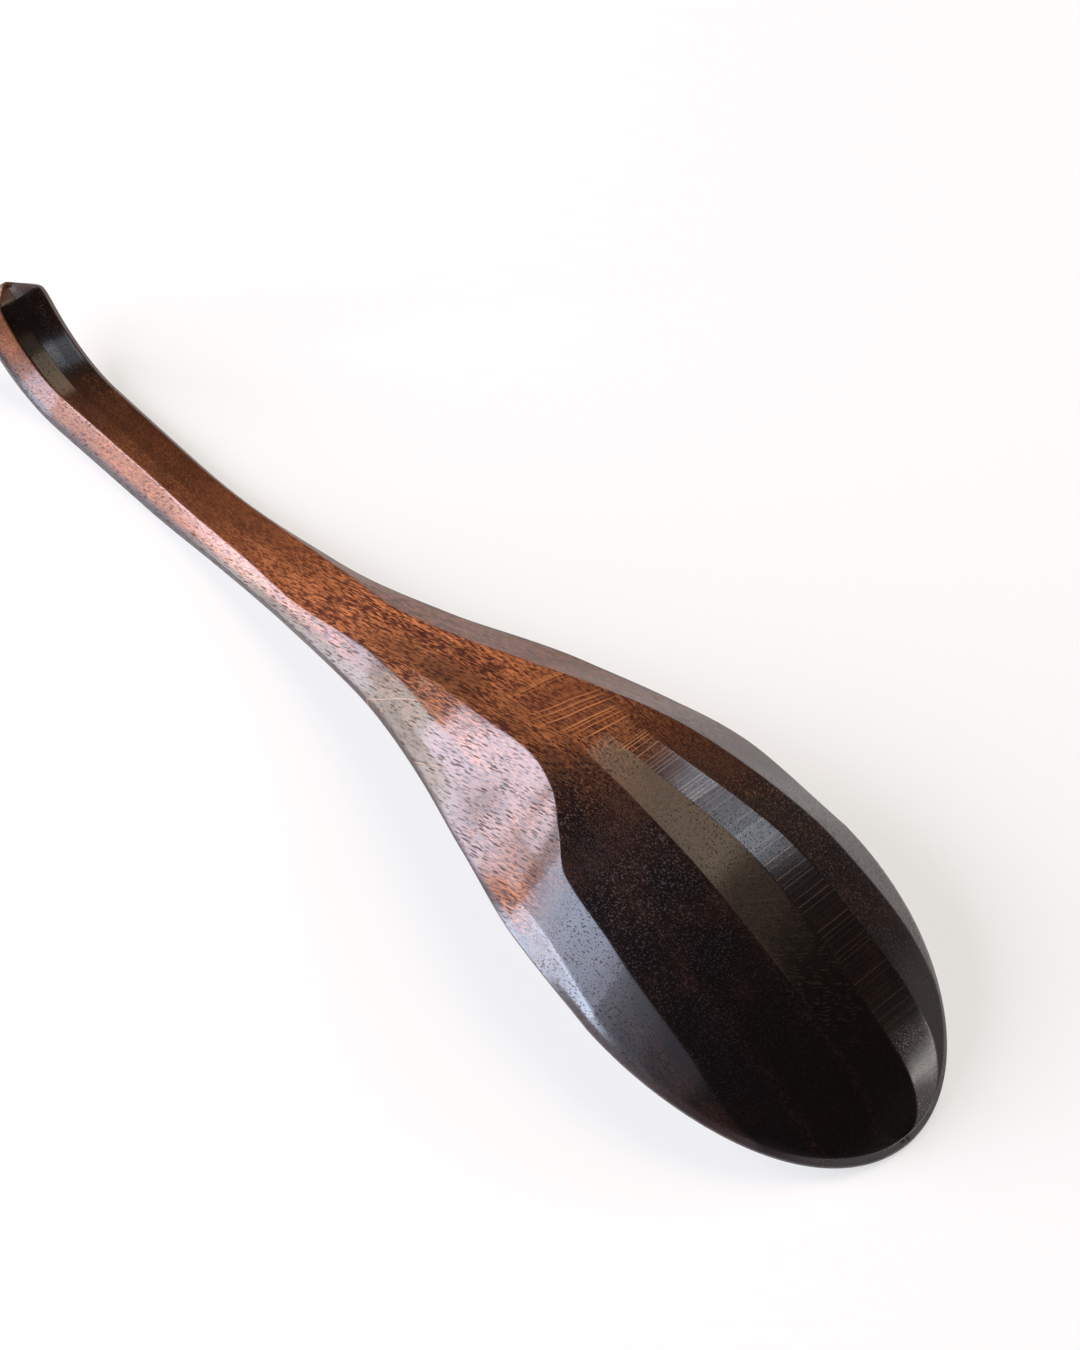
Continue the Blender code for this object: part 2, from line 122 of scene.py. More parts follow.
# How thin the lacquer is wiped on each facet, from left to right, as (distance, share): 0 is black
# lacquer and 1 is nearly bare wood. The middle facets end alike in WIPED_HOOK. Below, every list of
# pairs is (distance, value) in the same way.
WIPED_BOWL, WIPED_EDGE = ((0.0, 0.0), (13.0, 0.02), (28.0, 0.1)), ((116.0, 0.95), (178.0, 0.9))
WIPED_HOOK = ((125.0, 0.76), (150.0, 0.6), (162.0, 0.42), (168.0, 0.1), (180.3, 0.1),
              (182.0, 0.5))
WIPED = (
    ((0.0, 0.25), (40.0, 0.35), (60.0, 0.5), (130.0, 0.5)),
    ((0.0, 0.12), (34.0, 0.14), (42.0, 0.5), (48.0, 0.9), (55.0, 0.62), (62.0, 0.4),
     (104.0, 0.34), *WIPED_EDGE),
    ((0.0, 0.12), (34.0, 0.14), (42.0, 0.34), (48.0, 0.86), (55.0, 0.62), (62.0, 0.42),
     (90.0, 0.4), (100.0, 0.62), *WIPED_EDGE),
    ((0.0, 0.1), (34.0, 0.14), (41.0, 0.2), (48.0, 0.66), (56.0, 0.58), (70.0, 0.5),
     (80.0, 0.46), (88.0, 0.55), (100.0, 0.8), *WIPED_EDGE),
    ((0.0, 0.08), (34.0, 0.14), (41.0, 0.2), (48.0, 0.58), (56.0, 0.6), (66.0, 0.74),
     (84.0, 0.8), (96.0, 0.92), (108.0, 0.98), *WIPED_HOOK),
    (*WIPED_BOWL, (40.0, 0.12), (48.0, 0.2), (54.0, 0.46), (60.0, 0.78), (66.0, 0.76),
     (74.0, 0.6), (84.0, 0.68), (96.0, 0.92), (108.0, 0.98), *WIPED_HOOK),
    (*WIPED_BOWL, (40.0, 0.16), (48.0, 0.3), (54.0, 0.64), (60.0, 0.88), (66.0, 0.84),
     (74.0, 0.68), (84.0, 0.76), (96.0, 0.94), (108.0, 0.98), *WIPED_HOOK),
    (*WIPED_BOWL, (42.0, 0.2), (49.0, 0.52), (55.0, 0.95), (62.0, 0.95), (72.0, 0.8),
     (84.0, 0.78), (96.0, 0.95), (105.0, 0.98), *WIPED_HOOK),
    ((0.0, 0.06), (13.0, 0.14), (30.0, 0.14), (42.0, 0.3), (49.0, 0.74), (54.0, 1.0), (62.0, 1.0),
     (105.0, 0.98), *WIPED_HOOK),
    ((0.0, 0.14), (14.0, 0.16), (25.0, 0.16), (36.0, 0.22), (45.0, 0.45), (53.0, 0.8),
     (62.0, 0.95), (105.0, 0.98), *WIPED_HOOK),
    ((0.0, 0.2), (40.0, 0.32), (50.0, 0.56), (60.0, 0.84), (100.0, 0.9), (178.0, 0.5)),
    ((0.0, 0.25), (45.0, 0.3), (60.0, 0.5), (130.0, 0.5)),
)
# Width over which a facet's values pass into the next one's, and all values off the back
WIPE_BLUR = 0.35
# Off the back the pores keep one paleness, painted glints as on the back
WIPED_OFF_BACK, PORE_GLINTS_OFF_BACK = 0.3, 0.5
NOWHERE, EVERYWHERE = ((0.0, 0.0), (1.0, 0.0)), ((0.0, 1.0), (1.0, 1.0))
# Facets, counted from the left: the neck's flare, those down the sides, the one with the short
# chatter marks, the planed one, its right neighbour and the last two
FLARE_FACETS, SIDE_FACETS, CHATTER_FACET = (1, 2, 3), (3, 4, 9, 10), 7
PLANED_FACET, NEAR_RIGHT_FACET, RIGHT_FACETS = 8, 9, (10, 11)
# The planed facet's marks fan out to both sides behind the bowl, with a softer border, and end
FAN, FAN_END = ((49.0, 0.0), (58.0, 1.0)), ((61.0, 1.0), (70.0, 0.0))
FAN_LEFT, FAN_RIGHT, FAN_BLUR, PLANED_BLUR = 4.5, 2.5, 2.5, 0.12
# Width of the worn edge along the rim
RIM_FADE = 0.8
# How pale the pores are on each facet, from left to right, and how much paler at the planed tip.
# The paleness paints light: glints of pore walls on the dark facets, dark pores on facets that show
# a sheen, very pale ones on the facet right of the planed one, which the lights hardly reach, and a
# silvery sheen at the planed tip
PORE_GLINTS = (0.4, 0.35, 0.35, 0.35, 0.4, 0.9, 0.9, 0.35, 0.35, 2.0, 1.0, 0.6)
# Painted sheen: near the tip the planed facet's pores turn up to 14 times paler, a silvery sheen
PAINTED_TIP_SHEEN = ((7.0, 14.0), (9.0, 1.0))
# How far the pores show through the lacquer: as a rule, down the sides and on the planed facet
PORES_SHOWN = ((0.0, 0.03), (12.0, 0.1), (24.0, 0.35), (36.0, 0.9), (42.0, 1.0), (100.0, 1.0),
         (125.0, 0.5), (185.0, 0.5))
PORES_SHOWN_SIDES = ((0.0, 0.2), (10.0, 0.5), (24.0, 0.8), (42.0, 1.0), (100.0, 1.0), (125.0, 0.5))
# On the planed facet the pores show fully up to 7 mm from the tip, for the painted silvery sheen
PORES_SHOWN_PLANED = ((0.0, 1.0), (7.0, 1.0), (9.0, 0.15), (24.0, 0.35), (36.0, 0.9), (42.0, 1.0),
                (100.0, 1.0), (125.0, 0.5))
# How clearly the chatter marks show
CHATTER = ((8.0, 0.0), (14.0, 1.0), (34.0, 1.0), (46.0, 0.4), (52.0, 0.0))
# How much of the gloss is left: on the flare, on the upright edges of the section, on the planed
# facet's right neighbour and on the last two facets
FLARE_GLOSS = ((43.0, 1.0), (47.0, 0.58), (51.0, 0.62), (55.0, 1.0), (86.0, 1.0), (93.0, 0.75),
               (105.0, 0.72), (114.0, 1.0))
EDGE_GLOSS = ((46.0, 1.0), (52.0, 0.3), (82.0, 0.3), (100.0, 0.8))
NEAR_RIGHT_GLOSS = ((0.0, 0.25), (18.0, 0.3), (34.0, 0.55))
RIGHT_GLOSS = ((0.0, 0.95), (20.0, 0.85), (40.0, 0.58), (52.0, 0.4), (70.0, 0.26), (110.0, 0.4))
# How strongly each layer lies over the wood; that of the planed facet's lines changes
RIM_WEAR, PORE_STRENGTH, GROWTH_STRENGTH, CHATTER_STRENGTH = 0.6, 0.85, 0.025, 0.55
FAN_STRENGTH, NICK_STRENGTH, BARE_PORE = 0.6, 0.4, 0.12
LINES_SHOWN = ((0.0, 0.05), (12.0, 0.25), (22.0, 0.55), (30.0, 1.0), (66.0, 1.0), (185.0, 0.0))
# How far the grain is drawn out: in the pores on the bowl and the handle, in streaks and in bands
DOT_STRETCH, DASH_STRETCH, SHORT_STRETCH, LONG_STRETCH = 2.6, 8.0, 8.5, 14.0
# Nicks: offset at the far end, how much it falls per millimetre, and the near and far distances
NICKS = ((-9.2, 0.083, 70.0, 85.7), (-12.5, 0.17, 66.5, 71.3))

# Sections: where the tip's and the facets' end, and how many there are or how far apart
TIP_TO, TIP_SECTIONS = 5.0, 34
FACETS_TO, FACET_STEP = 78.0, 0.26
HANDLE_SECTIONS, HOOK_SECTIONS, POINT_SECTIONS = 100, 30, 28
# Gaps between the close sections at each end of the hollow
HOLLOW_START_GAP, HOLLOW_END_GAPS = 0.05, (0.4, 0.1)
# Most of a facet's width that the rounding of one edge takes, the points between two edges, and the
# shifts and weights that the heights are averaged with
ROUNDING_SHARE, FACET_POINTS = 0.45, (0.2, 0.4, 0.6, 0.8)
SOFTENING = ((-1.0, 0.12), (-0.5, 0.23), (0.0, 0.3), (0.5, 0.23), (1.0, 0.12))
# Points round the hollow, in each of its eased corners and in the eased edge of the face
HOLLOW_POINTS, CORNER_POINTS, FOOT_POINTS = 31, 5, 4
# Points that round to the same one of these steps in a metre are merged
MERGE_STEPS = 2e5
SHARP_ANGLE = math.radians(24.0)

# The table's half width and how far it lies under the spoon, in metres
TABLE_REACH, TABLE_DROP = 5.0, 0.0002
# Lights: name, azimuth and elevation, width and height, all in degrees, then the setting that holds
# the brightness, the share of it and the colour
LIGHT_DISTANCE = 3.0
LIGHTS = (
    ("left_pane", (214.9, 23), (15.8, 36), "window_radiance", 1.5, (1.0, 0.91, 1.08)),
    ("curtain", (230, 20), (14, 40), "window_radiance", 0.36, (0.97, 0.9, 1.02)),
    ("right_pane", (247.5, 20), (23.5, 49), "window_radiance", 1.08, (0.82, 0.92, 1.18)),
    ("left_sill", (206, 3.2), (32, 6), "window_radiance", 0.85, (1.02, 0.98, 0.9)),
    ("last_pane", (266.5, 22), (10, 40), "window_radiance", 0.3, (0.82, 0.92, 1.18)),
    ("far_pane", (278, 25), (11, 42), "window_radiance", 0.15, (0.85, 0.92, 1.15)),
    ("far_wall", (291, 27), (12, 38), "window_radiance", 0.065, (0.9, 0.92, 1.12)),
    ("right_sill", (250, 6), (30, 11), "window_radiance", 1.1, (0.84, 0.93, 1.14)),
    ("back_light", (92, 37), (22, 12), "back_radiance", 1.0, (0.92, 1.0, 1.14)),
    ("warm_wall", (110, 63), (43, 28), "wall_radiance", 1.15, (1.22, 0.93, 0.67)),
    ("low_lamp", (54, 1.7), (14, 4), "lamp_radiance", 1.0, (1.04, 1.0, 0.96)),
    ("room_side", (50, 57), (30, 16), "wall_radiance", 0.24, (1.22, 0.9, 0.66)),
)
ROOM_COLOUR = (0.046, 0.037, 0.032)
# Camera: focal length and picture height in pixels, sensor, angles as for the lights, and the
# distance, the point looked at and the nearest thing seen, in metres
FOCAL_PIXELS, PICTURE_HEIGHT, SENSOR = 2600.0, 1350.0, 36.0
CAMERA_AZIMUTH, CAMERA_ELEVATION, CAMERA_DISTANCE = math.radians(-41.8), math.radians(50), 0.342
LOOKED_AT, NEAREST_SEEN = (0.0096, 0.0152, 0.0), 0.01


def smooth_curve(points, at):
    """Cubic pieces through the points; a slope is the weighted harmonic mean of its neighbours."""
    spots, values = np.array(points, float).T
    gaps = np.diff(spots)
    slopes = np.diff(values) / gaps
    tangents = np.concatenate(([slopes[0]], np.zeros(len(spots) - 2), [slopes[-1]]))
    before, after = slopes[:-1], slopes[1:]
    same = before * after > 0.0
    near, far = 2.0 * gaps[1:] + gaps[:-1], gaps[1:] + 2.0 * gaps[:-1]
    safe_before, safe_after = np.where(same, before, 1.0), np.where(same, after, 1.0)
    tangents[1:-1] = np.where(same, (near + far) / (near / safe_before + far / safe_after), 0.0)
    k = np.clip(np.searchsorted(spots, at) - 1, 0, len(gaps) - 1)
    t = np.clip((at - spots[k]) / gaps[k], 0.0, 1.0)
    swing = t * t * (3.0 - 2.0 * t)
    leave = t * (1.0 - t) ** 2 * gaps[k] * tangents[k]
    arrive = t * t * (t - 1.0) * gaps[k] * tangents[k + 1]
    return values[k] + (values[k + 1] - values[k]) * swing + leave + arrive


def straight_lines(points, at):
    """Straight lines through the points, held level beyond the first and the last."""
    spots, values = np.array(points, float).T
    return np.interp(at, spots, values)


def level_ends(points, at):
    """The smooth curve through the points, held level without a bend beyond the first and last."""
    (first, start), (last, end) = points[0], points[-1]
    return smooth_curve(((first - 10.0, start),) + points + ((last + 10.0, end),), at)


def half_width(at):
    """A quarter ellipse from the tip to the widest place, then a smooth curve through OUTLINE.

    A hyperbola takes the hook's end down to its blunt point.
    """
    forward = 1.0 - np.clip(at, 0.0, BOWL_WIDEST_AT) / BOWL_WIDEST_AT
    front = BOWL_HALF * np.sqrt(np.maximum(1.0 - forward ** 2, 0.0))
    back = smooth_curve(OUTLINE + ((HOOK_END, HOOK_HALF),), at)
    half = np.where(at < BOWL_WIDEST_AT, front, back)
    into_point = at - (HOOK_END - HOOK_POINT)
    lost = 0.5 * HOOK_POINT_SLOPE * (into_point + np.hypot(into_point, HOOK_CORNER))
    return half - np.where(at > HOOK_AT, lost, 0.0)


def thickness(at):
    """A smooth curve through THICKNESS, on to the thickness of the hook."""
    return smooth_curve(THICKNESS + ((HOOK_END, HOOK_THICKNESS),), at)


def outline_slope(at):
    """Forward and sideways parts of the outline's normal, from the change of the half width."""
    near, far = np.maximum(at - 0.01, 0.0), at + 0.01
    slope = (half_width(far) - half_width(near)) / (far - near)
    length = np.hypot(slope, 1.0)
    return slope / length, 1.0 / length


def crown(at, y):
    """Edge height plus the rest of the thickness times (1 - share squared) to the fullness power.

    A plane that slopes down to each edge of the point cuts the lip of the hook.
    """
    edge = smooth_curve(EDGE, at)
    share = np.clip(np.abs(y) / np.maximum(half_width(at), 1e-6), 0.0, 1.0)
    rise = np.maximum(thickness(at) - edge, 0.0)
    height = edge + rise * (1.0 - share ** 2) ** smooth_curve(FULLNESS, at)
    to_lip = HOOK_END - np.abs(y) / HOOK_POINT_SLOPE - at
    return np.minimum(height, np.maximum(HOOK_LIP_THICKNESS + HOOK_LIP_SLOPE * to_lip, edge))


def facet_knots(at, half, edge, inner):
    """Offsets and heights where facets meet, both edges included.

    The lines go in from the sharpest to the faintest: each takes the height of the straight cut
    between the nearest lines already in, plus its sharpness times the rest of the way to the crown.
    """
    count = len(FACET_LINES)
    ys = np.stack([smooth_curve(line, at) for line, fade in FACET_LINES], axis=1) * half[:, None]
    ys = np.clip(ys, -inner[:, None], inner[:, None])
    ys = np.minimum.accumulate(ys[:, ::-1], axis=1)[:, ::-1]
    sharp = np.stack([level_ends(fade, at) for line, fade in FACET_LINES], axis=1)
    known_y = np.concatenate((-half[:, None], ys, half[:, None]), axis=1)
    known_z = np.concatenate((edge[:, None], np.zeros_like(ys), edge[:, None]), axis=1)
    known = np.zeros(known_y.shape, bool)
    known[:, 0] = known[:, -1] = True
    rows = np.arange(len(at))
    places = np.arange(count + 2)[None, :]
    for column in np.argsort(-sharp, axis=1, kind="stable").T:
        here = (column + 1)[:, None]
        left = np.where(known & (places < here), places, -1).max(axis=1)
        right = np.where(known & (places > here), places, count + 2).min(axis=1)
        y, y0, y1 = known_y[rows, column + 1], known_y[rows, left], known_y[rows, right]
        z0, z1 = known_z[rows, left], known_z[rows, right]
        gap = y1 - y0
        share = np.where(gap > 1e-9, (y - y0) / np.where(gap > 1e-9, gap, 1.0), 0.0)
        flat = z0 + (z1 - z0) * share
        amount = sharp[rows, column]
        known_z[rows, column + 1] = flat + amount * (crown(at, y) - flat)
        known[rows, column + 1] = amount > 0.0
        known_y[rows, column + 1] = y
    return known_y, known_z


def broken_line(knot_y, knot_z, y):
    """Height at y of the straight cuts between knots: the first height plus slopes times runs."""
    run = np.diff(knot_y, axis=1)
    slope = np.where(run > 1e-6, np.diff(knot_z, axis=1) / np.where(run > 1e-6, run, 1.0), 0.0)
    travelled = np.clip(y[:, :, None] - knot_y[:, None, :-1], 0.0, run[:, None, :])
    jump = np.where(run > 1e-6, 0.0, np.diff(knot_z, axis=1))
    passed = (y[:, :, None] > knot_y[:, None, :-1] + 1e-9) * jump[:, None, :]
    return knot_z[:, :1] + (travelled * slope[:, None, :] + passed).sum(axis=2)


def spoon_path(at, y, height):
    """Straight along -X over the face line, then turned about the hook's centre by the arc's angle.

    A smooth step takes the handle over to the left.
    """
    over = np.clip((at - SWEEP_FROM_AT) / (SWEEP_TO_AT - SWEEP_FROM_AT), 0.0, 1.0)
    y = y - SWEEP * over * over * (3.0 - 2.0 * over)
    turn = np.clip((at - HOOK_AT) / HOOK_RADIUS, 0.0, HOOK_ANGLE)
    straight = np.maximum(at - HOOK_AT - HOOK_RADIUS * HOOK_ANGLE, 0.0)
    before = np.minimum(at, HOOK_AT)
    along = before + HOOK_RADIUS * np.sin(turn) + straight * np.cos(turn) - height * np.sin(turn)
    up = (smooth_curve(FACE, before) + HOOK_RADIUS * (1.0 - np.cos(turn))
          + straight * np.sin(turn) + height * np.cos(turn))
    return np.stack(np.broadcast_arrays(-along, y, up), axis=-1)


def stations():
    """Distances of the sections: squares at the tip, fine over the facets, coarse on the handle."""
    tip = TIP_TO * (np.arange(TIP_SECTIONS) / TIP_SECTIONS) ** 2
    facets = np.arange(TIP_TO, FACETS_TO, FACET_STEP)
    handle = np.linspace(FACETS_TO, HOOK_AT, HANDLE_SECTIONS, endpoint=False)
    corner = HOOK_END - HOOK_POINT - 2.0 * HOOK_CORNER
    hook = np.linspace(HOOK_AT, corner, HOOK_SECTIONS, endpoint=False)
    end = np.linspace(corner, HOOK_END, POINT_SECTIONS)
    rim = [RIM_WIDTH, RIM_WIDTH + HOLLOW_START_GAP, HOLLOW_END_AT]
    rim += [HOLLOW_END_AT - gap for gap in HOLLOW_END_GAPS]
    return np.unique(np.concatenate((tip, facets, handle, hook, end, rim)))


def back_columns(at, half, edge, inner, rounding):
    """Offsets and heights over the back: each knot gets five points, each facet more between.

    The heights are the straight cuts averaged over the rounding's width, which softens each edge.
    """
    knot_y, knot_z = facet_knots(at, half, edge, inner)
    middle = knot_y[:, 1:-1]
    room = np.minimum(rounding, ROUNDING_SHARE * np.diff(middle, axis=1))
    none = np.zeros((len(at), 1))
    to_right, to_left = np.concatenate((room, none), axis=1), np.concatenate((none, room), axis=1)
    columns = []
    for i in range(middle.shape[1]):
        y, left, right = middle[:, i], to_left[:, i], to_right[:, i]
        columns += [y - left, y - 0.5 * left, y, y + 0.5 * right, y + right]
        if i + 1 < middle.shape[1]:
            start, end = y + right, middle[:, i + 1] - to_left[:, i + 1]
            columns += [start + (end - start) * share for share in FACET_POINTS]
    y = np.stack(columns, axis=1)
    z = sum(weight * broken_line(knot_y, knot_z, y + shift * rounding)
            for shift, weight in SOFTENING)
    return y, z, knot_y


def by_facet(facets, y, knot_y):
    """Each facet's value, blended over the blur's width at the lines between facets."""
    passed = np.clip((y[:, :, None] - knot_y[:, None, 1:-1]) / WIPE_BLUR + 0.5, 0.0, 1.0)
    return facets[:, :1] + (passed * np.diff(facets, axis=1)[:, None, :]).sum(axis=2)


def hollow_columns(at, ease):
    """Offsets and heights of the gouged hollow, from its left edge over its floor to its right.

    The offset is the side times the cosine and the height the depth times the squared sine to the
    fullness power; a quarter circle eases the way from the face into each wall.
    """
    share = np.clip((at - RIM_WIDTH) / (HOLLOW_END_AT - RIM_WIDTH), 0.0, 1.0)
    past_turn = np.clip((at - HOLLOW_TURN_AT) / (HOLLOW_END_AT - HOLLOW_TURN_AT), 0.0, 1.0)
    sideways = outline_slope(at)[1]
    side = np.maximum(half_width(at) - RIM_WIDTH / np.maximum(sideways, 0.3), 0.0)
    side = np.where((share > 0.0) & (share < 1.0), side, 0.0)
    side = side * np.sqrt(1.0 - past_turn ** HOLLOW_END_ROUNDNESS)
    closing = np.sqrt(np.maximum(1.0 - (2.0 * share - 1.0) ** 4, 0.0))
    depth = np.maximum(thickness(at) - WALL, 0.0) * closing * (side > 0.0)
    corner = np.minimum(ease, np.minimum(0.25 * depth, 0.25 * side))
    lift = np.where(depth > 0.0, corner / np.where(depth > 0.0, depth, 1.0), 0.0)
    first = np.arcsin(np.sqrt(np.clip(lift ** (1.0 / HOLLOW_FULLNESS), 0.0, 1.0)))[:, None]
    angle = first + (math.pi - 2.0 * first) * np.linspace(0.0, 1.0, HOLLOW_POINTS)[None, :]
    y = -side[:, None] * np.cos(angle)
    z = depth[:, None] * np.sin(angle) ** (2.0 * HOLLOW_FULLNESS)
    swing = np.linspace(0.0, 0.5 * math.pi, CORNER_POINTS)[None, :-1]
    lip_y = y[:, :1] - corner[:, None] * (1.0 - np.sin(swing))
    lip_z = corner[:, None] * (1.0 - np.cos(swing))
    y = np.concatenate((lip_y, y, -lip_y[:, ::-1]), axis=1)
    z = np.concatenate((lip_z, z, lip_z[:, ::-1]), axis=1)
    return y, z


def edge_columns(at, half, edge):
    """Offsets and heights of the upright edge, from its eased foot at the face up to the back."""
    foot = np.minimum(FACE_EASE, FACE_EASE_HALF * half) * straight_lines(FACE_EASE_KEPT, at)
    foot = np.minimum(foot, FACE_EASE_EDGE * edge)[:, None]
    turn = np.linspace(0.0, 0.5 * math.pi, FOOT_POINTS)[None, :]
    y = np.concatenate((half[:, None] - foot * (1.0 - np.sin(turn)), half[:, None]), axis=1)
    z = np.concatenate((foot * (1.0 - np.cos(turn)), edge[:, None]), axis=1)
    return y, z


def ring_mesh(name, rings):
    """Closed mesh from rings of points: quads between rings, a fan at the far end, and merged."""
    count, around = rings.shape[:2]
    middle = rings[-1].mean(axis=0)
    points = np.concatenate((rings.reshape(-1, 3), middle[None, :]))
    i, j = np.meshgrid(np.arange(count - 1), np.arange(around), indexing="ij")
    here, after = i * around + j, i * around + (j + 1) % around
    quads = np.stack((here, after, after + around, here + around), axis=-1).reshape(-1, 4)
    last = (count - 1) * around
    j = np.arange(around)
    fan = np.stack((last + j, last + (j + 1) % around, np.full(around, len(points) - 1)), axis=-1)
    keys = np.round(points * MERGE_STEPS).astype(np.int64)
    first, back = np.unique(keys, axis=0, return_index=True, return_inverse=True)[1:]
    triangles = np.concatenate((quads[:, (0, 1, 2)], quads[:, (0, 2, 3)], fan))
    triangles = back.reshape(-1)[triangles]
    a, b, c = triangles.T
    whole = (a != b) & (b != c) & (c != a)
    mesh = bpy.data.meshes.new(name)
    mesh.from_pydata(points[first].tolist(), [], triangles[whole].tolist())
    mesh.update()
    return mesh, first


def facet_table(at, usual, *own):
    """Values for each section and facet: the usual line's, or those of a facet's own line."""
    values = np.tile(straight_lines(usual, at)[:, None], (1, len(WIPED)))
    for facets, line in own:
        values[:, facets] = straight_lines(line, at)[:, None]
    return values


def planed_share(at, y, knot_y):
    """How far each point of the back lies on the planed facet or in its fan of marks."""
    fan = straight_lines(FAN, at)[:, None]
    left = knot_y[:, PLANED_FACET:PLANED_FACET + 1] - FAN_LEFT * fan
    right = knot_y[:, PLANED_FACET + 1:PLANED_FACET + 2] + FAN_RIGHT * fan
    inside = np.minimum(y - left, right - y) / (PLANED_BLUR + FAN_BLUR * fan)
    return np.clip(inside, 0.0, 1.0) * straight_lines(FAN_END, at)[:, None]


def back_traits(at, half, y, knot_y):
    """What the material reads at each point of the back.

    That is its distance from the tip, how far it lies on the planed facet and how clearly the thin
    lines show there, how near it is to the rim's thin edge, how thin its lacquer is wiped, how pale
    its pores are, which paints glints and the light each facet gets, how far its pores show, how
    clearly chatter marks show, and how much of the gloss is left.
    """
    shares = np.stack([straight_lines(points, at) for points in WIPED], axis=1)
    # Pore paleness by facet: painted glints of pore walls and painted light for what each facet
    # gets
    pore_glints = np.tile(np.array([PORE_GLINTS]), (len(at), 1))
    # Much paler pores at the planed facet's tip paint a silvery sheen
    pore_glints[:, PLANED_FACET] *= straight_lines(PAINTED_TIP_SHEEN, at)
    pores_shown = facet_table(at, PORES_SHOWN, (SIDE_FACETS, PORES_SHOWN_SIDES), ((PLANED_FACET,), PORES_SHOWN_PLANED))
    chatter = facet_table(at, NOWHERE, ((CHATTER_FACET,), CHATTER))
    gloss = facet_table(at, EVERYWHERE, (FLARE_FACETS, FLARE_GLOSS),
                        ((NEAR_RIGHT_FACET,), NEAR_RIGHT_GLOSS), (RIGHT_FACETS, RIGHT_GLOSS))
    traits = {"wiped": shares, "pore_glints": pore_glints, "pores_shown": pores_shown, "chatter": chatter, "gloss": gloss}
    traits = {name: by_facet(values, y, knot_y) for name, values in traits.items()}
    traits["along"] = np.broadcast_to(at[:, None], y.shape)
    traits["planed"] = planed_share(at, y, knot_y)
    traits["lines"] = traits["planed"] * straight_lines(LINES_SHOWN, at)[:, None]
    traits["rim"] = np.clip(1.0 - (half[:, None] - np.abs(y)) / RIM_FADE, 0.0, 1.0)
    return traits


def carve(rounding, ease):
    """The spoon's surface: rings at the sections, each going over the back and under the face.

    Also gives the values of back_traits for all points, level round the edges and the hollow.
    """
    at = stations()
    half, edge = half_width(at), smooth_curve(EDGE, at)
    forwards, sideways = outline_slope(at)
    forwards = np.where(at < BOWL_WIDEST_AT, forwards, 0.0)
    sideways = np.where(at < BOWL_WIDEST_AT, sideways, 1.0)
    inner_at = at + BEVEL_WIDTH * forwards
    inner = np.maximum(half - BEVEL_WIDTH * sideways, 0.0)
    back_y, back_z, knot_y = back_columns(inner_at, half, edge, inner, rounding)
    edge_y, edge_z = edge_columns(at, half, edge)
    hollow_y, hollow_z = hollow_columns(at, ease)
    rings = np.concatenate((
        spoon_path(at[:, None], -edge_y, edge_z),
        spoon_path(inner_at[:, None], back_y, back_z),
        spoon_path(at[:, None], edge_y[:, ::-1], edge_z[:, ::-1]),
        spoon_path(at[:, None], hollow_y[:, ::-1], hollow_z[:, ::-1])), axis=1)
    pores_shown, gloss = straight_lines(PORES_SHOWN, at), straight_lines(EDGE_GLOSS, at)
    edges_and_hollow = {
        "along": (at, at), "planed": (0.0, 0.0), "lines": (0.0, 0.0), "chatter": (0.0, 0.0),
        "wiped": (WIPED_OFF_BACK, WIPED_OFF_BACK), "pore_glints": (PORE_GLINTS_OFF_BACK, PORE_GLINTS_OFF_BACK),
        "rim": (1.0, 0.0), "pores_shown": (pores_shown, pores_shown), "gloss": (gloss, 1.0)}
    traits = {}
    for name, back in back_traits(at, half, back_y, knot_y).items():
        on_edge, in_hollow = (
            np.broadcast_to(np.reshape(value, (-1, 1)), columns.shape)
            for value, columns in zip(edges_and_hollow[name], (edge_y, hollow_y)))
        traits[name] = np.concatenate((on_edge, back, on_edge, in_hollow), axis=1)
    return rings, traits


def colour_setting(name, description, default):
    """A colour that the panel lists."""
    return bpy.props.FloatVectorProperty(
        name=name, description=description, default=default,
        size=3, min=0.0, max=1.0, subtype="COLOR")


